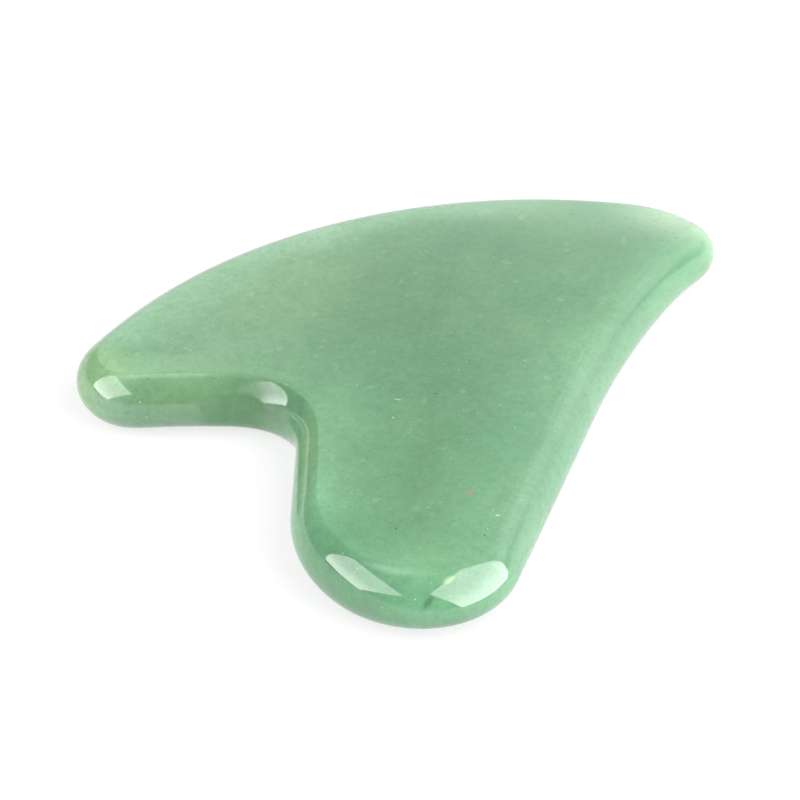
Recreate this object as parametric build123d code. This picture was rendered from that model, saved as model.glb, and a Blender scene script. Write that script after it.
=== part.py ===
from build123d import *
from collections import namedtuple
from math import copysign, cos, pi, radians, sin
import os

# Gua sha scraper: one flat slab of polished green stone, in millimetres.
# It lies flat on z = 0 with +Z up. +X is its longest extent, from the round lobe towards the tip,
# and the long scraping edge faces -Y. The origin is the bottom centre of its bounding box.

# ---------------------------------------------------------------- driving dimensions
THICKNESS = 7.2  # between the two flat faces
START_HEADING = -16.4  # degrees from +X, where the throat below the scraping edge runs into the tip

# The outline at mid-thickness is a closed chain of tangent stretches, anticlockwise from above.
# A negative sweep is a hollow arc. A straight of no stated length is worked out to close the chain.
# The rounding is how far the flat faces stand in from the outline.
Arc = namedtuple("Arc", "radius sweep rounding")
Straight = namedtuple("Straight", "length rounding")
OUTLINE = {
    "tip": Arc(radius=4.5, sweep=79.0, rounding=3.1),
    "crown": Arc(radius=15.5, sweep=40.5, rounding=3.1),
    "back_edge": Arc(radius=58.5, sweep=76.0, rounding=3.3),
    "small_lobe": Arc(radius=7.0, sweep=117.5, rounding=2.7),
    "notch_upper_flank": Straight(length=None, rounding=3.0),
    "notch_root": Arc(radius=7.1, sweep=-92.5, rounding=2.2),
    "notch_lower_flank": Straight(length=None, rounding=2.8),
    "round_lobe_side": Arc(radius=16.0, sweep=69.0, rounding=2.9),
    "round_lobe_end": Arc(radius=9.9, sweep=91.7, rounding=5.2),
    "heel": Straight(length=29.0, rounding=3.3),
    "scraping_edge": Arc(radius=135.0, sweep=-10.8, rounding=3.5),
    "throat": Arc(radius=50.0, sweep=-10.4, rounding=3.4),
}
ROUNDING_BLEND = 6.0  # the rounding changes gradually over this distance each side of a joint

# The rim's profile is an ellipse's arc that stops short of level, so a soft arris meets each face.
RIM_END_ANGLE = 82.0
RIM_LEVELS = 17  # curves that the rim surface passes through, from one face to the other
STATIONS = 150  # points round each of those curves
BLEND_SAMPLES = 12  # samples each side in that average


# ---------------------------------------------------------------- outline
def ahead(heading):
    """The unit vector along a heading given in radians."""
    return Vector(cos(heading), sin(heading))


def left_of(heading):
    """The unit vector to the left of a heading given in radians."""
    return Vector(-sin(heading), cos(heading))


def signed_radius(arc):
    """An arc's radius, negative where the outline is hollow."""
    return copysign(arc.radius, arc.sweep)


def flank_lengths():
    """The lengths of the two unstated straights, which bring the chain back to its start."""
    heading = radians(START_HEADING)
    gap = Vector(0, 0)
    directions = []
    for stretch in OUTLINE.values():
        if isinstance(stretch, Arc):
            turned = heading + radians(stretch.sweep)
            gap += (left_of(heading) - left_of(turned)) * signed_radius(stretch)
            heading = turned
        elif stretch.length is None:
            directions.append(ahead(heading))
        else:
            gap += ahead(heading) * stretch.length
    first, second = directions
    crossing = first.cross(second).Z
    return [-gap.cross(second).Z / crossing, -first.cross(gap).Z / crossing]


def lay_out():
    """Each stretch with its start point, its start heading and its length."""
    closing = flank_lengths()
    point = Vector(0, 0)
    heading = radians(START_HEADING)
    placed = []
    for stretch in OUTLINE.values():
        if isinstance(stretch, Arc):
            length = stretch.radius * abs(radians(stretch.sweep))
        else:
            length = stretch.length or closing.pop(0)
        placed.append((stretch, point, heading, length))
        point, heading = travel(stretch, point, heading, length)
    return placed


def travel(stretch, point, heading, distance):
    """The point and heading at a distance along one stretch."""
    if isinstance(stretch, Straight):
        return point + ahead(heading) * distance, heading
    radius = signed_radius(stretch)
    turned = heading + distance / radius
    return point + (left_of(heading) - left_of(turned)) * radius, turned


PLACED = lay_out()
PERIMETER = sum(length for _, _, _, length in PLACED)


def stretch_at(distance):
    """The stretch that holds a distance round the outline, and how far along it that is."""
    distance %= PERIMETER
    for placed in PLACED:
        if distance < placed[3]:
            return placed, distance
        distance -= placed[3]
    return PLACED[0], 0.0


def rounding_at(distance):
    """The rounding at a distance round the outline, averaged over the stretches beside it."""
    total = 0.0
    weight_sum = 0.0
    for step in range(-BLEND_SAMPLES, BLEND_SAMPLES + 1):
        offset = step / (BLEND_SAMPLES + 1)
        weight = cos(offset * pi / 2) ** 2
        (stretch, _, _, _), _ = stretch_at(distance + offset * ROUNDING_BLEND)
        total += weight * stretch.rounding
        weight_sum += weight
    return total / weight_sum


# ---------------------------------------------------------------- slab
def rim_level(end_fraction):
    """The closed curve at one level of the rim, from -1 at the lower face to +1 at the upper face."""
    end = radians(RIM_END_ANGLE)
    angle = end * end_fraction
    height = THICKNESS / 2 * (1 + sin(angle) / sin(end))
    inset_share = (1 - cos(angle)) / (1 - cos(end))
    points = []
    for station in range(STATIONS):
        distance = PERIMETER * station / STATIONS
        (stretch, start, start_heading, _), along = stretch_at(distance)
        point, heading = travel(stretch, start, start_heading, along)
        inner = point + left_of(heading) * (rounding_at(distance) * inset_share)
        points.append(Vector(inner.X, inner.Y, height))
    parameters = [station / STATIONS for station in range(STATIONS + 1)]
    return Wire([Edge.make_spline(points, periodic=True, parameters=parameters)])


def stone_slab():
    """The slab: two flat faces joined by one smoothly rounded rim."""
    levels = [rim_level(2 * level / (RIM_LEVELS - 1) - 1) for level in range(RIM_LEVELS)]
    slab = Solid.make_loft(levels)
    box = slab.bounding_box()
    centre = box.center()
    return slab.moved(Location((-centre.X, -centre.Y, -box.min.Z)))


slab = stone_slab()
slab.label = "stone_slab"
os.makedirs("parts", exist_ok=True)
export_step(slab, "parts/stone_slab.step")
box = slab.bounding_box()
print("size", box.size, "volume", slab.volume, "faces", len(slab.faces()), "valid", slab.is_valid)
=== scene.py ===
import math
from collections import namedtuple

import bmesh
import bpy
import numpy as np
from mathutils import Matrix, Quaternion, Vector
from mathutils.geometry import delaunay_2d_cdt


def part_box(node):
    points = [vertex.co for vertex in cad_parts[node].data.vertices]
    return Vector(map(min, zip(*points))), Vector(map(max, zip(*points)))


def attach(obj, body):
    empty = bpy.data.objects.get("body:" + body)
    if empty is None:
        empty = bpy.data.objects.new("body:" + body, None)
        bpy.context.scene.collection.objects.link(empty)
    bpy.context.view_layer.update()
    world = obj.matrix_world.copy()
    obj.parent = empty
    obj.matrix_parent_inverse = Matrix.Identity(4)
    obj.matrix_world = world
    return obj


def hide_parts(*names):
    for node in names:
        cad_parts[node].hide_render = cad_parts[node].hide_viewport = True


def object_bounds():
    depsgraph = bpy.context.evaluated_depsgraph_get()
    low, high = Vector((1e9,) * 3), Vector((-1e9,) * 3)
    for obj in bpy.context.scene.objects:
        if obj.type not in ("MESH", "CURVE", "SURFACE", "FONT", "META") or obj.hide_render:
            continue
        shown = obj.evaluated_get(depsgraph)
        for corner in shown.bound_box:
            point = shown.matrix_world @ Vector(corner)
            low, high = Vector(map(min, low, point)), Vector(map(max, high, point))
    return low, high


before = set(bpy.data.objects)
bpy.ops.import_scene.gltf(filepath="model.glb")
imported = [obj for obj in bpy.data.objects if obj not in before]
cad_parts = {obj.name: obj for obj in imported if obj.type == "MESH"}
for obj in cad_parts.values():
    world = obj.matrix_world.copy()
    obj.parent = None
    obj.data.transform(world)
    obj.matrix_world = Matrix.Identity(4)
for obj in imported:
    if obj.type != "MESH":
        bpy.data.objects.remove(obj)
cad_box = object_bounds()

# A gua sha scraper: one slab of polished green aventurine. Metres, in the CAD model's frame.
MM = 0.001
NODE = "stone_slab"
BODY = "root"
BOARD = "stone_board"

# ---------------------------------------------------------------- the slab's mesh
RIM_DEPTH = "rim_depth"  # the mesh attribute that holds each point's distance from the outline, in mm
STATIONS = 960  # columns of the rim's mesh round the outline
RIM_RINGS = 45  # rings of the rim's mesh from one arris to the other
RIM_END_ANGLE = math.radians(82.0)  # the rim's profile meets each face a little short of level
NOTCH_END_ANGLE = math.radians(68.0)  # and further short of it round the notch, where the arris is crisper
SMALL_LOBE_REACH = (23.0 * MM, 31.0 * MM)  # that arris fades between these distances from the root
ROUND_LOBE_REACH = (14.0 * MM, 22.0 * MM)  # and between these on the round lobe's side
NOTCH_SPAN = 20  # stations each side of a point in the measure of how hollow the outline is there
SMOOTHING = 1.3 * MM  # evens out the steps of the CAD mesh along the outline
ROUNDING_SMOOTHING = 2.5 * MM
SHOULDER_DROP = 0.004 * MM  # how far under the upper face the CAD mesh's shoulder is read
FACE_BORDER = (0.12 * MM, 0.3 * MM, 0.6 * MM, 1.0 * MM)  # rings that lead from the arris into a face
FACE_SPACING = 0.7 * MM  # triangle size inside a face
FACE_CLEARANCE = 0.6 * FACE_SPACING  # how far the face's inner points keep from its last ring
MERGE_DISTANCE = 0.001 * MM
CUT_TOLERANCE = 0.0001 * MM
NEARLY_ZERO = 1e-15
CORNER_SLACK = 1e-6  # the share of an edge's length that a hit may lie past its end
FILL_BORDER = 1  # tells Blender's triangulation to fill the inside of the border
TRIANGLE_TOLERANCE = 1e-9


def crossing_loop(mesh, height):
    """The closed polygon where a mesh crosses a height, as an array of x and y, anticlockwise."""
    bm = bmesh.new()
    bm.from_mesh(mesh)
    bmesh.ops.remove_doubles(bm, verts=bm.verts, dist=MERGE_DISTANCE)
    everything = bm.verts[:] + bm.edges[:] + bm.faces[:]
    level = {"plane_co": (0, 0, height), "plane_no": (0, 0, 1)}
    cut = bmesh.ops.bisect_plane(bm, geom=everything, dist=CUT_TOLERANCE, **level)["geom_cut"]
    neighbours = {}
    for edge in cut:
        if isinstance(edge, bmesh.types.BMEdge):
            a, b = edge.verts
            neighbours.setdefault(a, []).append(b)
            neighbours.setdefault(b, []).append(a)
    start = min(neighbours, key=lambda v: (v.co.x, v.co.y))
    loop = [start]
    step = neighbours[start][0]
    while step is not start:
        last = loop[-1]
        loop.append(step)
        step = next(v for v in neighbours[step] if v is not last)
    points = np.array([v.co.to_2d() for v in loop])
    bm.free()
    x, y = points.T
    area = np.sum(x * np.roll(y, -1) - np.roll(x, -1) * y)
    return points if area > 0 else points[::-1]


def evenly_spaced(points, count):
    """A closed polygon resampled at equal distances, and that distance."""
    closed = np.vstack([points, points[:1]])
    along = np.concatenate([[0], np.cumsum(np.hypot(*np.diff(closed, axis=0).T))])
    places = np.linspace(0, along[-1], count, endpoint=False)
    sampled = np.column_stack([np.interp(places, along, closed[:, axis]) for axis in (0, 1)])
    return sampled, along[-1] / count


def smooth_closed(values, spacing, width):
    """Values round a closed loop, smoothed by a Gaussian twice so that arcs keep their radius."""
    wave = 2 * np.pi * np.fft.fftfreq(len(values), spacing)
    passed = np.exp(-0.5 * (wave * width) ** 2)
    kept = 2 * passed - passed**2
    spectrum = np.fft.fft(values, axis=0)
    return np.real(np.fft.ifft(spectrum * kept.reshape(-1, *[1] * (values.ndim - 1)), axis=0))


def inward_normals(points):
    """The unit vectors to the left of an anticlockwise loop's direction."""
    ahead = np.roll(points, -1, axis=0) - np.roll(points, 1, axis=0)
    ahead /= np.linalg.norm(ahead, axis=1)[:, None]
    return np.column_stack([-ahead[:, 1], ahead[:, 0]])


def distance_to_loop(points, directions, loop):
    """How far each point is from a loop along its own direction."""
    edge = np.roll(loop, -1, axis=0) - loop
    distances = []
    for point, direction in zip(points, directions):
        offset = loop - point
        cross = direction[0] * edge[:, 1] - direction[1] * edge[:, 0]
        cross[np.abs(cross) < NEARLY_ZERO] = NEARLY_ZERO
        along = (offset[:, 0] * edge[:, 1] - offset[:, 1] * edge[:, 0]) / cross
        share = (offset[:, 0] * direction[1] - offset[:, 1] * direction[0]) / cross
        on_edge = (share >= -CORNER_SLACK) & (share <= 1 + CORNER_SLACK)
        hits = along[on_edge & (along > 0)]
        distances.append(hits.min())
    return np.array(distances)


def distance_from(points, loop):
    """How far each point is from the nearest corner of a finely divided loop."""
    nearest = np.full(len(points), np.inf)
    for corner in loop[::2]:
        nearest = np.minimum(nearest, np.hypot(*(points - corner).T))
    return nearest


def read_outline(mesh, low, high):
    """The CAD slab's outline at mid-thickness, its inward normals and its rounding at each station."""
    middle = (low + high) / 2
    outline, spacing = evenly_spaced(crossing_loop(mesh, middle), STATIONS)
    outline = smooth_closed(outline, spacing, SMOOTHING)
    normals = inward_normals(outline)
    shoulder = crossing_loop(mesh, high - SHOULDER_DROP)
    rounding = distance_to_loop(outline, normals, shoulder)
    rounding = smooth_closed(rounding, spacing, ROUNDING_SMOOTHING)
    return outline, normals, rounding


def smooth_step(values, start, end):
    """0 before start and 1 after end, with a smooth step between them."""
    share = np.clip((values - start) / (end - start), 0.0, 1.0)
    return share * share * (3.0 - 2.0 * share)


def end_angles(outline):
    """How far the rim's profile runs at each station: less round the notch's hollow root."""
    before = outline - np.roll(outline, NOTCH_SPAN, axis=0)
    after = np.roll(outline, -NOTCH_SPAN, axis=0) - outline
    root = np.argmin(before[:, 0] * after[:, 1] - before[:, 1] * after[:, 0])
    spacing = np.linalg.norm(outline[1] - outline[0])
    stations = (np.arange(STATIONS) - root + STATIONS // 2) % STATIONS - STATIONS // 2
    before_root = smooth_step(-stations * spacing, *SMALL_LOBE_REACH)
    after_root = smooth_step(stations * spacing, *ROUND_LOBE_REACH)
    share = np.where(stations < 0, before_root, after_root)
    return NOTCH_END_ANGLE + (RIM_END_ANGLE - NOTCH_END_ANGLE) * share


def slab_rings(outline, normals, rounding, low, high):
    """Rings of points from the lower face's border, up the rim, to the upper face's border."""
    half = (high - low) / 2
    middle = (high + low) / 2
    ends = end_angles(outline)
    rings = []
    for fraction in np.linspace(-1.0, 1.0, RIM_RINGS):
        share = (1 - np.cos(ends * fraction)) / (1 - np.cos(ends))
        heights = middle + half * np.sin(ends * fraction) / np.sin(ends)
        plan = outline + normals * (rounding * share)[:, None]
        rings.append(np.column_stack([plan, heights]))
    for border in FACE_BORDER:
        plan = outline + normals * (rounding + border)[:, None]
        rings.insert(0, np.column_stack([plan, np.full(STATIONS, low)]))
        rings.append(np.column_stack([plan, np.full(STATIONS, high)]))
    return rings


def ring_faces(ring_count):
    """The four-sided faces that join each ring to the next."""
    faces = []
    for ring in range(ring_count - 1):
        for station in range(STATIONS):
            a = ring * STATIONS + station
            b = ring * STATIONS + (station + 1) % STATIONS
            faces.append((a, b, b + STATIONS, a + STATIONS))
    return faces


def grid_inside(loop):
    """The points of a triangular grid that lie inside a closed loop and clear of it."""
    low = loop.min(axis=0)
    high = loop.max(axis=0)
    row_height = FACE_SPACING * math.sqrt(3) / 2
    rows = int((high[1] - low[1]) / row_height) + 2
    columns = int((high[0] - low[0]) / FACE_SPACING) + 2
    grid = [
        (low[0] + (column + 0.5 * (row % 2)) * FACE_SPACING, low[1] + row * row_height)
        for row in range(rows)
        for column in range(columns)
    ]
    grid = np.array(grid)
    clearance = np.full(len(grid), np.inf)
    inside = np.zeros(len(grid), bool)
    for a, b in zip(loop, np.roll(loop, -1, axis=0)):
        clearance = np.minimum(clearance, np.hypot(*(grid - a).T))
        crosses = (grid[:, 1] < a[1]) != (grid[:, 1] < b[1])
        if crosses.any():
            x = a[0] + (grid[:, 1] - a[1]) * (b[0] - a[0]) / (b[1] - a[1])
            inside ^= crosses & (grid[:, 0] < x)
    return grid[inside & (clearance > FACE_CLEARANCE)]


def face_triangles(loop):
    """The triangles that fill a closed loop: their points, their corners and each point's station."""
    points = [Vector(p) for p in np.vstack([loop, grid_inside(loop)])]
    border = [(i, (i + 1) % len(loop)) for i in range(len(loop))]
    result = delaunay_2d_cdt(points, border, [], FILL_BORDER, TRIANGLE_TOLERANCE)
    coordinates = np.array([p[:] for p in result[0]])
    origins = [ids[0] if ids else -1 for ids in result[3]]
    return coordinates, result[2], origins


def add_face(vertices, faces, triangles, first, height):
    """Closes one end of the stack of rings with a flat face; its last ring starts at vertex first."""
    coordinates, corners, origins = triangles
    index = {}
    extra = []
    for i, origin in enumerate(origins):
        if 0 <= origin < STATIONS:
            index[i] = first + origin
        else:
            index[i] = len(vertices) + len(extra)
            extra.append((*coordinates[i], height))
    turn = -1 if first == 0 else 1
    faces.extend(tuple(index[i] for i in triangle)[::turn] for triangle in corners)
    return np.vstack([vertices, extra])


def build_slab():
    """The slab as one closed mesh: the rim's rings, then each face's border rings and triangles."""
    low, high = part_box(NODE)
    outline, normals, rounding = read_outline(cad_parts[NODE].data, low.z, high.z)
    rings = slab_rings(outline, normals, rounding, low.z, high.z)
    vertices = np.vstack(rings)
    faces = ring_faces(len(rings))
    triangles = face_triangles(rings[-1][:, :2])
    vertices = add_face(vertices, faces, triangles, (len(rings) - 1) * STATIONS, high.z)
    vertices = add_face(vertices, faces, triangles, 0, low.z)
    mesh = bpy.data.meshes.new(BOARD)
    mesh.from_pydata(vertices.tolist(), [], faces)
    mesh.validate()
    mesh.polygons.foreach_set("use_smooth", [True] * len(mesh.polygons))
    depth = mesh.attributes.new(RIM_DEPTH, "FLOAT", "POINT")
    depth.data.foreach_set("value", distance_from(vertices[:, :2], outline) / MM)
    board = bpy.data.objects.new(BOARD, mesh)
    bpy.context.scene.collection.objects.link(board)
    return board


# ---------------------------------------------------------------- shading nodes
DOT_EDGE = (0.6, 1.2)  # shares of a dot's radius between which it fades
DOT_SIZES = (0.8, 0.5)  # the stated radius is scaled by a random share of the first plus the second
THROUGH = 1000.0  # half height of a blotch, so that it runs right through the stone


class Shading:
    """Builds a node tree: each call adds one node and returns the output that the next ones read."""

    def __init__(self, tree):
        self.tree = tree

    def feed(self, socket, value):
        """Gives an input another node's output, a number, a vector or a linear colour."""
        if isinstance(value, bpy.types.NodeSocket):
            self.tree.links.new(value, socket)
        elif socket.type == "RGBA":
            socket.default_value = (*value, 1.0)
        else:
            socket.default_value = value

    def node(self, kind, output, inputs, **settings):
        node = self.tree.nodes.new(kind)
        for name, value in settings.items():
            setattr(node, name, value)
        for name, value in inputs.items():
            self.feed(node.inputs[name], value)
        return node.outputs[output]

    def math(self, operation, *values):
        return self.node("ShaderNodeMath", 0, dict(enumerate(values)), operation=operation)

    def vector_math(self, operation, *values, output=0):
        return self.node("ShaderNodeVectorMath", output, dict(enumerate(values)), operation=operation)

    def scaled(self, vector, factor):
        return self.node("ShaderNodeVectorMath", 0, {"Vector": vector, "Scale": factor}, operation="SCALE")

    def dot(self, vector, along):
        return self.vector_math("DOT_PRODUCT", vector, tuple(along), output=1)

    def part(self, vector, axis):
        """One of a vector's three parts."""
        return self.node("ShaderNodeSeparateXYZ", axis, {"Vector": vector})

    def ramp(self, value, start, end, low=0.0, high=1.0):
        """Low before start and high after end, with a smooth step between them."""
        limits = {"Value": value, "From Min": start, "From Max": end, "To Min": low, "To Max": high}
        return self.node("ShaderNodeMapRange", 0, limits, interpolation_type="SMOOTHSTEP")

    def noise(self, places, size, detail):
        inputs = {"Vector": places, "Scale": 1.0 / size, "Detail": detail}
        return self.node("ShaderNodeTexNoise", "Fac", inputs)

    def mix(self, amount, first, second):
        """A mix of two colours."""
        node = self.tree.nodes.new("ShaderNodeMix")
        node.data_type = "RGBA"
        for index, value in ((0, amount), (6, first), (7, second)):
            self.feed(node.inputs[index], value)
        return node.outputs[2]

    def dots(self, places, spacing, radius, share, seed):
        """Small round dots: one in some of the cells of a random pattern."""
        shifted = self.vector_math("ADD", places, (seed, 2.0 * seed, -seed))
        inputs = {"Vector": shifted, "Scale": 1.0 / spacing}
        distance = self.node("ShaderNodeTexVoronoi", "Distance", inputs)
        cell = self.node("ShaderNodeTexVoronoi", "Color", inputs)
        chosen = self.math("LESS_THAN", self.node("ShaderNodeSeparateColor", 0, {"Color": cell}), share)
        size = self.node("ShaderNodeSeparateColor", 1, {"Color": cell})
        reach = self.math("MULTIPLY", self.math("MULTIPLY_ADD", size, *DOT_SIZES), radius / spacing)
        dot = self.ramp(self.math("DIVIDE", distance, reach), *DOT_EDGE, 1.0, 0.0)
        return self.math("MULTIPLY", dot, chosen)

    def blotch(self, places, centre, half_size, angle, edge):
        """A soft ellipse in plan, 1 inside and 0 outside, on both faces and through the stone."""
        inputs = {
            "Vector": places,
            "Location": (*centre, 0.0),
            "Rotation": (0.0, 0.0, math.radians(angle)),
            "Scale": (*half_size, THROUGH),
        }
        local = self.node("ShaderNodeMapping", 0, inputs, vector_type="TEXTURE")
        return self.ramp(self.vector_math("LENGTH", local, output=1), 1.0 - edge, 1.0 + edge, 1.0, 0.0)

    def tinted(self, colour, places, tints):
        """A colour with soft ellipses of other tints laid over it."""
        for tint, strength, centre, half_size, angle, edge in tints:
            amount = self.blotch(places, centre, half_size, angle, edge)
            colour = self.mix(self.math("MULTIPLY", amount, strength), colour, tint)
        return colour


# ---------------------------------------------------------------- the stone
# Linear colours.
CORE = (0.084, 0.184, 0.097)
# Painted glow of light passing through the thin edges of the stone.
EDGE_GLOW_GREEN = (0.158, 0.335, 0.188)
# The rim's green, partly its own and partly painted glow of light through the thin rim.
RIM_GREEN_AND_GLOW = (0.128, 0.285, 0.165)
# The outermost band's green, partly its own and partly painted glow; it also serves as the painted light
# from the white floor on the notch flank's foot.
OUTER_RIM_GREEN_AND_GLOW = (0.135, 0.310, 0.170)
# Painted glow of light through the thin tip.
TIP_GLOW = (0.410, 0.550, 0.390)
# Painted shade and dark reflection on the rim in the notch.
NOTCH_SHADE = (0.090, 0.200, 0.100)
# Painted shade on the heel and the scraping edge.
HEEL_SHADE = (0.120, 0.205, 0.130)
MOSS = (0.120, 0.190, 0.100)
# Painted glow of light passing through the thin edges.
PALE_GLOW = (0.340, 0.490, 0.370)
LIME = (0.320, 0.480, 0.260)
YELLOW_GREEN = (0.165, 0.300, 0.145)
SEA_GREEN = (0.085, 0.220, 0.130)
OLIVE = (0.215, 0.350, 0.140)
# A darker green, used both as the stone's own tone and as painted shade.
DARK_GREEN_AND_SHADE = (0.070, 0.210, 0.095)
# Painted sheen: the pale grey of the bright wall mirrored in the flat faces.
PAINTED_SHEEN = (0.550, 0.600, 0.560)
DARK_FLECK = (0.030, 0.090, 0.040)
# Pale grains, painted partly as glints of the stone's sparkle.
WHITE_FLECK_AND_GLINT = (0.700, 0.850, 0.680)
BROWN = (0.330, 0.160, 0.120)

# Depths are distances in mm from the outline, seen from above.
GLOW_START = 3.0  # the painted glow of light through the thin edges fades inwards from this depth
GLOW_FADE = 6.0
RIM_DEPTHS = (1.0, 3.5)  # the rim's green, partly its own and partly painted glow, fades between these depths
BRIM_DEPTHS = (0.3, 1.3)  # and the slightly lighter green of its outermost band, also partly painted glow, between these
NOTCH_SHADE_BLOTCH = ((-18.6, 13.0), (13.0, 3.5), -65.5, 0.5)  # the painted shade on the rim in the notch: a blotch, given as below
FLOOR_LIGHT_HEIGHTS = (2.6, 4.8)  # mm above the lower face over which that stretch's painted light from the white floor fades
FLOOR_LIGHT_STRENGTH = 0.6
CLOUD_SIZE = 14.0
CLOUD_STRETCH = (0.7, 1.2, 1.0)
CLOUD_DETAIL = 3.0
CLOUD_STRENGTH = 0.3
BRIGHT_CLOUDS = (0.48, 0.72)
DARK_CLOUDS = (0.28, 0.46)
SHEEN_ANGLE = math.radians(24.5)  # painted sheen: the faces are painted paler and greyer in this direction, measured from +X
SHEEN_REACH = (-42.0, 32.0)  # mm along it over which they do
SHEEN_STRENGTHS = (0.016, 0.098)
GRAIN = ((4.0, 0.20, 2.0), (1.0, 0.24, 2.0), (0.30, 0.28, 1.0))  # size in mm, strength and detail
GRAIN_FADE = (15.0, 33.0)  # mm along X over which the grain grows fainter towards the tip
GRAIN_AT_TIP = 0.35  # the share of its strength that is left there

# Parts of the stone of another shade, some of them painted glow, shade or reflection as marked: tint,
# strength, centre, half sizes, angle and softness of the edge.
TINTS_AND_PAINTED_LIGHT = (
    (TIP_GLOW, 0.90, (38.5, -23.5), (7.5, 4.5), 77.5, 0.9),  # painted glow of light through the tip's far side
    (DARK_GREEN_AND_SHADE, 0.25, (33.0, -28.5), (3.0, 1.5), 35.0, 0.9),  # painted shade in the throat beside the tip
    (SEA_GREEN, 0.42, (23.0, -12.5), (12.0, 9.0), 0.0, 0.9),  # the faces towards the tip
    (YELLOW_GREEN, 0.30, (4.0, 13.0), (12.0, 9.0), -30.0, 0.9),  # the middle, towards the back edge
    (PALE_GLOW, 0.27, (5.0, 29.0), (34.0, 9.0), -25.0, 0.9),  # painted glow of light through the thin back edge
    (PALE_GLOW, 0.28, (-24.0, 24.0), (4.5, 3.5), 0.0, 0.9),  # painted glow at the small lobe's thin end
    (PALE_GLOW, 0.34, (26.0, 10.5), (17.0, 4.5), -52.0, 0.9),  # painted glow along the far half of the back edge
    (DARK_GREEN_AND_SHADE, 0.32, (13.0, -11.5), (13.0, 8.0), -65.5, 0.9),  # the middle, towards the scraping edge
    (DARK_GREEN_AND_SHADE, 0.15, (29.0, -14.5), (5.0, 4.0), -65.5, 0.9),  # the base of the tip
    (PALE_GLOW, 0.26, (34.0, -17.5), (9.0, 4.0), -65.5, 0.9),  # painted glow at the crown
    (DARK_GREEN_AND_SHADE, 0.35, (-18.0, 2.0), (4.0, 4.0), 0.0, 0.9),  # painted shade beside the notch's root
    (DARK_GREEN_AND_SHADE, 0.40, (-37.0, -12.5), (4.5, 3.5), 24.5, 0.9),  # the round lobe's shoulder, notch side
    (CORE, 0.32, (-36.5, -14.5), (5.0, 4.5), 0.0, 0.9),  # and its edge
    (OLIVE, 0.20, (-17.3, 16.3), (5.5, 3.0), -65.5, 0.9),  # beside the upper flank
    (PALE_GLOW, 0.13, (-10.0, 20.0), (13.0, 10.0), 0.0, 0.9),  # painted glow over the small lobe
    (PALE_GLOW, 0.30, (14.0, 17.5), (7.0, 3.5), -40.0, 0.9),  # painted glow at the near end of the back edge
    (PALE_GLOW, 0.36, (31.5, -4.0), (7.0, 3.0), -57.0, 0.9),  # painted glow at its far end
    (HEEL_SHADE, 0.42, (-7.0, -27.8), (33.0, 4.8), 0.0, 0.5),  # painted shade on the heel and the scraping edge
    (DARK_GREEN_AND_SHADE, 0.22, (-8.0, -8.0), (11.0, 8.0), 20.0, 0.9),  # the middle
    (DARK_GREEN_AND_SHADE, 0.25, (-13.5, 8.0), (7.0, 2.8), -65.5, 0.9),  # painted shade on the notch's root and upper flank
    (MOSS, 0.28, (-15.0, 9.0), (10.0, 4.5), -65.5, 0.9),  # the faces beside them
    (MOSS, 0.26, (-21.5, -2.0), (9.0, 4.0), 51.0, 0.9),  # the faces beside the lower flank
    (DARK_GREEN_AND_SHADE, 0.25, (-38.5, -21.6), (7.0, 2.2), -65.5, 0.8),  # the round lobe's end
    (DARK_GREEN_AND_SHADE, 0.25, (-14.5, 19.5), (5.0, 0.9), -65.5, 0.9),  # a painted dark reflection in a streak beside the upper flank
    (OLIVE, 0.45, (-20.0, 26.0), (3.5, 4.5), 0.0, 0.6),  # a stain on the small lobe
    (OLIVE, 0.30, (-24.9, -3.3), (8.5, 1.1), 24.5, 0.5),  # a streak along the lower flank
)

# Round flecks, the white ones partly painted glints: tint, strength, spacing in mm, radius in mm, share of
# the places that hold one, and seed.
FLECKS = (
    (DARK_GREEN_AND_SHADE, 0.18, 0.9, 0.30, 0.5, 3.0),
    (DARK_FLECK, 0.35, 0.8, 0.10, 0.12, 7.0),
    (WHITE_FLECK_AND_GLINT, 0.45, 0.6, 0.065, 0.08, 11.0),
)

# Single marks in the stone, the white ones partly painted glints, given like the parts above.
MARKS = (
    (BROWN, 0.65, (-23.8, -21.4), (0.26, 0.48), 25.0, 0.6),
    (DARK_FLECK, 0.5, (-38.8, -23.4), (0.60, 0.25), -30.0, 0.5),
    (LIME, 0.8, (-36.2, -24.4), (0.60, 0.25), -30.0, 0.5),
    (DARK_FLECK, 0.8, (-9.5, -11.3), (0.14, 0.14), 0.0, 0.5),
    (DARK_FLECK, 0.7, (-32.1, -16.9), (0.12, 0.12), 0.0, 0.5),
    (DARK_FLECK, 0.7, (-29.4, -25.3), (0.12, 0.12), 0.0, 0.5),
    (WHITE_FLECK_AND_GLINT, 0.30, (-12.2, -8.0), (0.10, 0.40), 10.0, 0.5),
    (WHITE_FLECK_AND_GLINT, 0.35, (-15.4, -8.9), (0.12, 0.12), 0.0, 0.5),
    (WHITE_FLECK_AND_GLINT, 0.35, (-26.0, -25.3), (0.12, 0.25), 30.0, 0.5),
)

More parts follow.
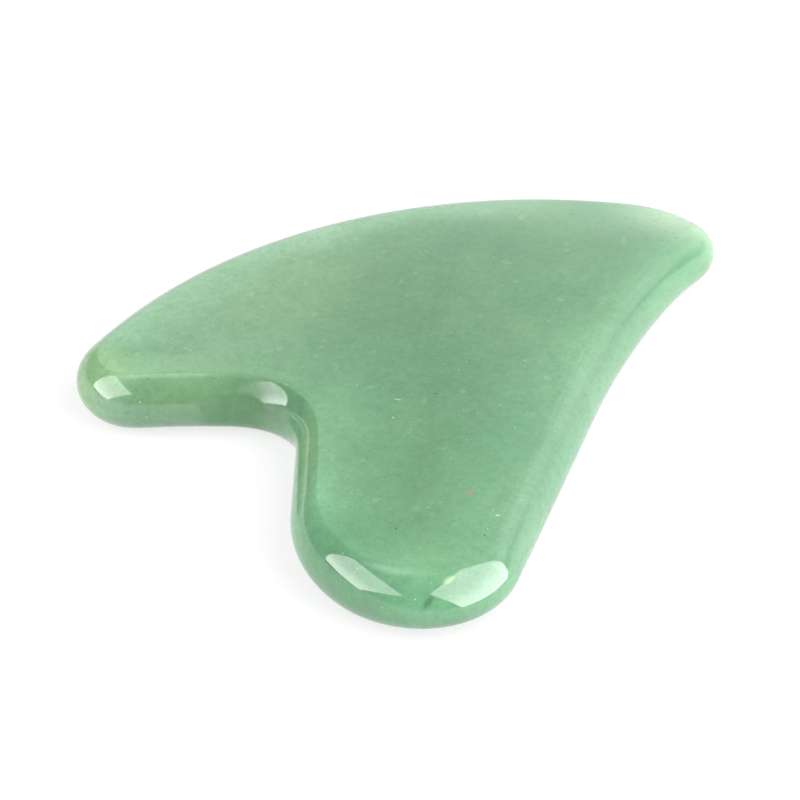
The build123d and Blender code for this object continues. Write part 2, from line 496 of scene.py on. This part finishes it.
# Polish. The faces have a softer and weaker gloss than the rim, and the notch is polished less finely.
LEVEL = (0.97, 0.998)  # the upright part of the normal, between the rim's and a flat face's
SUBSURFACE_WEIGHT = 0.6
SUBSURFACE_RADIUS = (0.55, 1.0, 0.65)
SUBSURFACE_SCALE = 3.0 * MM
IOR = 1.54
RIM_GLOSS = 0.8
FACE_GLOSS_LOSS = 0.68
NOTCH_GLOSS_LOSS = 0.55
NOTCH_DULLNESS = ((-17.5, 9.5), (3.2, 3.6), 0.0, 0.3)
FINE_AND_COARSE = (0.025, 0.075)  # the rim's roughness varies between these
SMEAR_SIZE = 2.5
SMEAR_DETAIL = 3.0
SMEARS = (0.35, 0.7)
FACE_ROUGHNESS = 0.2
NOTCH_ROUGHNESS = 0.12
WAVE_SIZE = 5.0
WAVE_DETAIL = 1.0
WAVE_HEIGHT = 0.012  # mm
PIT_DEPTH = 0.02
PITS = (0.6, 0.075, 0.12, 11.0)  # spacing, radius, share and seed, as for the white flecks


def ground_colour(shading, places, depth):
    """Deep green inside the stone, with painted glow of light through its thin edges, painted shade on the
    notch's flank and painted light from the white floor along that flank's foot.
    """
    # Painted glow: the thin edges are painted paler, for light that passes through them.
    inside = shading.math("MAXIMUM", depth, GLOW_START)
    edge_glow = shading.math("EXPONENT", shading.math("DIVIDE", inside, -GLOW_FADE))
    edge_glow = shading.math("MULTIPLY", edge_glow, math.exp(GLOW_START / GLOW_FADE))
    colour = shading.mix(edge_glow, CORE, EDGE_GLOW_GREEN)
    rim = shading.ramp(depth, *RIM_DEPTHS, 1.0, 0.0)
    colour = shading.mix(rim, colour, RIM_GREEN_AND_GLOW)
    colour = shading.mix(shading.ramp(depth, *BRIM_DEPTHS, 1.0, 0.0), colour, OUTER_RIM_GREEN_AND_GLOW)
    # Painted shade on the rim in the notch.
    notch_shade = shading.blotch(places, *NOTCH_SHADE_BLOTCH)
    colour = shading.mix(shading.math("MULTIPLY", notch_shade, rim), colour, NOTCH_SHADE)
    # Painted light from the white floor on the lower part of that stretch.
    floor_light = shading.ramp(shading.part(places, "Z"), *FLOOR_LIGHT_HEIGHTS, FLOOR_LIGHT_STRENGTH, 0.0)
    return shading.mix(shading.math("MULTIPLY", notch_shade, floor_light), colour, OUTER_RIM_GREEN_AND_GLOW)


def clouded(shading, colour, places):
    """The colour with wide yellower and bluer clouds."""
    clouds = shading.noise(shading.vector_math("MULTIPLY", places, CLOUD_STRETCH), CLOUD_SIZE, CLOUD_DETAIL)
    bright = shading.ramp(clouds, *BRIGHT_CLOUDS, 0.0, CLOUD_STRENGTH)
    colour = shading.mix(bright, colour, YELLOW_GREEN)
    dark = shading.ramp(clouds, *DARK_CLOUDS, CLOUD_STRENGTH, 0.0)
    return shading.mix(dark, colour, SEA_GREEN)


def grained(shading, colour, places):
    """The colour with its grain and round flecks."""
    clearness = shading.ramp(shading.part(places, "X"), *GRAIN_FADE, 1.0, GRAIN_AT_TIP)
    for size, strength, detail in GRAIN:
        grain = shading.math("SUBTRACT", shading.noise(places, size, detail), 0.5)
        grain = shading.math("MULTIPLY_ADD", grain, shading.math("MULTIPLY", clearness, strength), 1.0)
        colour = shading.scaled(colour, grain)
    for tint, strength, *pattern in FLECKS:
        amount = shading.math("MULTIPLY", shading.dots(places, *pattern), strength)
        colour = shading.mix(amount, colour, tint)
    return colour


def stone_colour(shading, places, depth, flat):
    """Green aventurine with painted glow, shade and sheen, from the ground colour up to the single marks.
    """
    colour = ground_colour(shading, places, depth)
    colour = shading.tinted(colour, places, TINTS_AND_PAINTED_LIGHT)
    colour = clouded(shading, colour, places)
    # Painted sheen on the flat faces, paler and greyer along one direction, for the bright wall mirrored in
    # them.
    along = shading.dot(places, (math.cos(SHEEN_ANGLE), math.sin(SHEEN_ANGLE), 0.0))
    sheen = shading.ramp(along, *SHEEN_REACH, *SHEEN_STRENGTHS)
    colour = shading.mix(shading.math("MULTIPLY", sheen, flat), colour, PAINTED_SHEEN)
    colour = grained(shading, colour, places)
    return shading.tinted(colour, places, MARKS)


def stone_material():
    """Polished aventurine: light spreads a little inside it, under a clear and faintly wavy polish."""
    material = bpy.data.materials.new("green_aventurine")
    material.use_nodes = True
    shader = material.node_tree.nodes["Principled BSDF"]
    shading = Shading(material.node_tree)
    places = shading.scaled(shading.node("ShaderNodeTexCoord", "Object", {}), 1.0 / MM)
    depth = shading.node("ShaderNodeAttribute", "Fac", {}, attribute_name=RIM_DEPTH)
    upright = shading.part(shading.node("ShaderNodeTexCoord", "Normal", {}), "Z")
    flat = shading.ramp(shading.math("ABSOLUTE", upright), *LEVEL)
    dull = shading.blotch(places, *NOTCH_DULLNESS)
    roughness = shading.ramp(shading.noise(places, SMEAR_SIZE, SMEAR_DETAIL), *SMEARS, *FINE_AND_COARSE)
    roughness = shading.math("MULTIPLY_ADD", flat, FACE_ROUGHNESS, roughness)
    roughness = shading.math("MULTIPLY_ADD", dull, NOTCH_ROUGHNESS, roughness)
    gloss = shading.math("MULTIPLY_ADD", flat, -FACE_GLOSS_LOSS, RIM_GLOSS)
    gloss = shading.math("MULTIPLY_ADD", dull, -NOTCH_GLOSS_LOSS, gloss)
    waves = shading.math("MULTIPLY", shading.noise(places, WAVE_SIZE, WAVE_DETAIL), WAVE_HEIGHT)
    pits = shading.math("MULTIPLY", shading.dots(places, *PITS), -PIT_DEPTH)
    relief = {"Height": shading.math("ADD", waves, pits), "Distance": MM, "Strength": 1.0}
    finish = {
        "Base Color": stone_colour(shading, places, depth, flat),
        "Subsurface Weight": SUBSURFACE_WEIGHT,
        "Subsurface Radius": SUBSURFACE_RADIUS,
        "Subsurface Scale": SUBSURFACE_SCALE,
        "Roughness": roughness,
        "Specular IOR Level": gloss,
        "IOR": IOR,
        "Normal": shading.node("ShaderNodeBump", 0, relief),
    }
    for name, value in finish.items():
        shading.feed(shader.inputs[name], value)
    return material


# ---------------------------------------------------------------- stage
VIEW_AZIMUTH = 65.5  # degrees clockwise from +Y to the camera's line of sight, seen from above
VIEW_ELEVATION = 36.0
VIEW_DISTANCE = 222.2 * MM
VIEW_TARGET = (-7.68 * MM, -6.2 * MM)
LENS = 90.0
SENSOR_WIDTH = 36.0
CLIPPING = (0.01, 20.0)

FLOOR_HALF_SIZE = 4.0
FLOOR_GAP = 0.02 * MM
FLOOR_COLOUR = (0.22, 0.22, 0.22)
FLOOR_ROUGHNESS = 0.9
FLOOR_GLOW = 0.72  # the floor's own light, which keeps it white round the contact shadow

# Softboxes: direction they stand in and direction that they face away from, each as azimuth and elevation,
# roll in degrees, size in metres, and radiance at the dimmer and the brighter of their two long edges.
Softbox = namedtuple("Softbox", "stands backs roll size radiance")
SOFTBOX_DISTANCE = 0.35
SOFTBOX_FADE = (0.75, 0.15)  # shares of a softbox's height between which it brightens
SOFTBOXES = {
    "right_softbox": Softbox((124.1, 43.4), (101.1, 25.8), 4.1, (0.404, 0.496), (3.4, 6.4)),
    "left_softbox": Softbox((-114.6, 31.0), (-132.8, 59.7), 29.6, (0.304, 0.36), (3.2, 6.0)),
}

# The light tent. Rise and side step are shares of the distance ahead along the camera's line of sight.
ROOM_RADIANCE = 0.2
WALL_RADIANCE = 1.1
WALL_RISE = (0.58, 0.86)  # the far wall darkens between these
WALL_SIDE = (-0.65, -0.30)  # and it begins between these, from the left
HORIZON_RADIANCE = 1.05
HORIZON = (0.145, 0.20)  # the white round the horizon fades between these heights of a unit sphere
Glow = namedtuple("Glow", "azimuth elevation half_width half_height radiance")
GLOWS = (Glow(47.0, 34.0, 40.0, 15.0, 1.0), Glow(-35.0, 76.0, 20.0, 13.0, 1.4))
GLOW_EDGE = (0.3, 1.0)
NEARLY_NONE = 0.001


def direction(azimuth, elevation):
    """A unit vector, its azimuth in degrees clockwise from the camera's line of sight."""
    turn = math.radians(VIEW_AZIMUTH + azimuth)
    rise = math.radians(elevation)
    return Vector((math.sin(turn) * math.cos(rise), math.cos(turn) * math.cos(rise), math.sin(rise)))


def make_camera():
    low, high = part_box(NODE)
    camera = bpy.data.objects.new("camera", bpy.data.cameras.new("camera"))
    bpy.context.scene.collection.objects.link(camera)
    camera.data.lens = LENS
    camera.data.sensor_width = SENSOR_WIDTH
    camera.data.clip_start, camera.data.clip_end = CLIPPING
    target = Vector((*VIEW_TARGET, (low.z + high.z) / 2))
    sight = direction(0.0, -VIEW_ELEVATION)
    camera.location = target - sight * VIEW_DISTANCE
    camera.rotation_mode = "QUATERNION"
    camera.rotation_quaternion = sight.to_track_quat("-Z", "Y")
    bpy.context.scene.camera = camera


def make_floor():
    low, _ = cad_box
    height = low.z - FLOOR_GAP
    mesh = bpy.data.meshes.new("floor")
    quarters = ((-1, -1), (1, -1), (1, 1), (-1, 1))
    corners = [(x * FLOOR_HALF_SIZE, y * FLOOR_HALF_SIZE, height) for x, y in quarters]
    mesh.from_pydata(corners, [], [(0, 1, 2, 3)])
    floor = bpy.data.objects.new("floor", mesh)
    bpy.context.scene.collection.objects.link(floor)
    material = bpy.data.materials.new("floor")
    material.use_nodes = True
    shader = material.node_tree.nodes["Principled BSDF"]
    shader.inputs["Base Color"].default_value = (*FLOOR_COLOUR, 1.0)
    shader.inputs["Emission Color"].default_value = (1.0, 1.0, 1.0, 1.0)
    shader.inputs["Emission Strength"].default_value = FLOOR_GLOW
    shader.inputs["Roughness"].default_value = FLOOR_ROUGHNESS
    shader.inputs["Specular IOR Level"].default_value = 0.0
    mesh.materials.append(material)


def make_softbox(name, softbox):
    """A rectangular lamp that grows brighter across its height."""
    lamp = bpy.data.lights.new(name, "AREA")
    lamp.shape = "RECTANGLE"
    lamp.size, lamp.size_y = softbox.size
    lamp.energy = math.pi * lamp.size * lamp.size_y  # so that the strength below is the radiance
    lamp.use_nodes = True
    shading = Shading(lamp.node_tree)
    across = shading.part(shading.node("ShaderNodeNewGeometry", "Parametric", {}), "Y")
    strength = shading.ramp(across, *SOFTBOX_FADE, *softbox.radiance)
    shading.feed(lamp.node_tree.nodes["Emission"].inputs["Strength"], strength)
    box = bpy.data.objects.new(name, lamp)
    bpy.context.scene.collection.objects.link(box)
    box.location = direction(*softbox.stands) * SOFTBOX_DISTANCE
    facing = -direction(*softbox.backs)
    turn = facing.to_track_quat("-Z", "Y")
    turn.rotate(Quaternion(facing, math.radians(softbox.roll)))
    box.rotation_mode = "QUATERNION"
    box.rotation_quaternion = turn
    box.visible_camera = False


def wall_light(shading, places, up):
    """The white wall ahead, which darkens upwards and ends to the left."""
    ahead = shading.math("MAXIMUM", shading.dot(places, direction(0.0, 0.0)), NEARLY_NONE)
    rise = shading.math("DIVIDE", up, ahead)
    low, high = WALL_RISE
    rises = {"Value": rise, "From Min": low, "From Max": high}
    radiances = {"To Min": WALL_RADIANCE, "To Max": ROOM_RADIANCE}
    light = shading.node("ShaderNodeMapRange", 0, rises | radiances)
    side = shading.math("DIVIDE", shading.dot(places, direction(90.0, 0.0)), ahead)
    return shading.math("MULTIPLY", light, shading.ramp(side, *WALL_SIDE))


def glow_light(shading, places, glow):
    """A soft bright ellipse in one direction."""
    aside = direction(glow.azimuth + 90.0, 0.0)
    toward = direction(glow.azimuth, glow.elevation)
    upright = toward.cross(-aside)
    u = shading.dot(places, aside / math.sin(math.radians(glow.half_width)))
    v = shading.dot(places, upright / math.sin(math.radians(glow.half_height)))
    square = shading.math("ADD", shading.math("MULTIPLY", u, u), shading.math("MULTIPLY", v, v))
    light = shading.ramp(shading.math("SQRT", square), *GLOW_EDGE, glow.radiance, 0.0)
    front = shading.math("GREATER_THAN", shading.dot(places, toward), 0.0)
    return shading.math("MULTIPLY", light, front)


def make_world():
    """A light tent: white round the horizon, a wall ahead, two glows and a dim room."""
    world = bpy.data.worlds.new("studio")
    bpy.context.scene.world = world
    world.use_nodes = True
    shading = Shading(world.node_tree)
    places = shading.node("ShaderNodeTexCoord", "Generated", {})
    up = shading.part(places, "Z")
    light = shading.math("MAXIMUM", wall_light(shading, places, up), ROOM_RADIANCE)
    light = shading.math("MAXIMUM", light, shading.ramp(up, *HORIZON, HORIZON_RADIANCE, 0.0))
    for glow in GLOWS:
        light = shading.math("ADD", light, glow_light(shading, places, glow))
    background = world.node_tree.nodes["Background"]
    shading.feed(background.inputs["Strength"], light)
    shading.feed(background.inputs["Color"], (1.0, 1.0, 1.0))


board = build_slab()
board.data.materials.append(stone_material())
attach(board, BODY)
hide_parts(NODE)
make_floor()
make_world()
for name, softbox in SOFTBOXES.items():
    make_softbox(name, softbox)
make_camera()
bpy.context.scene.view_settings.view_transform = "Standard"
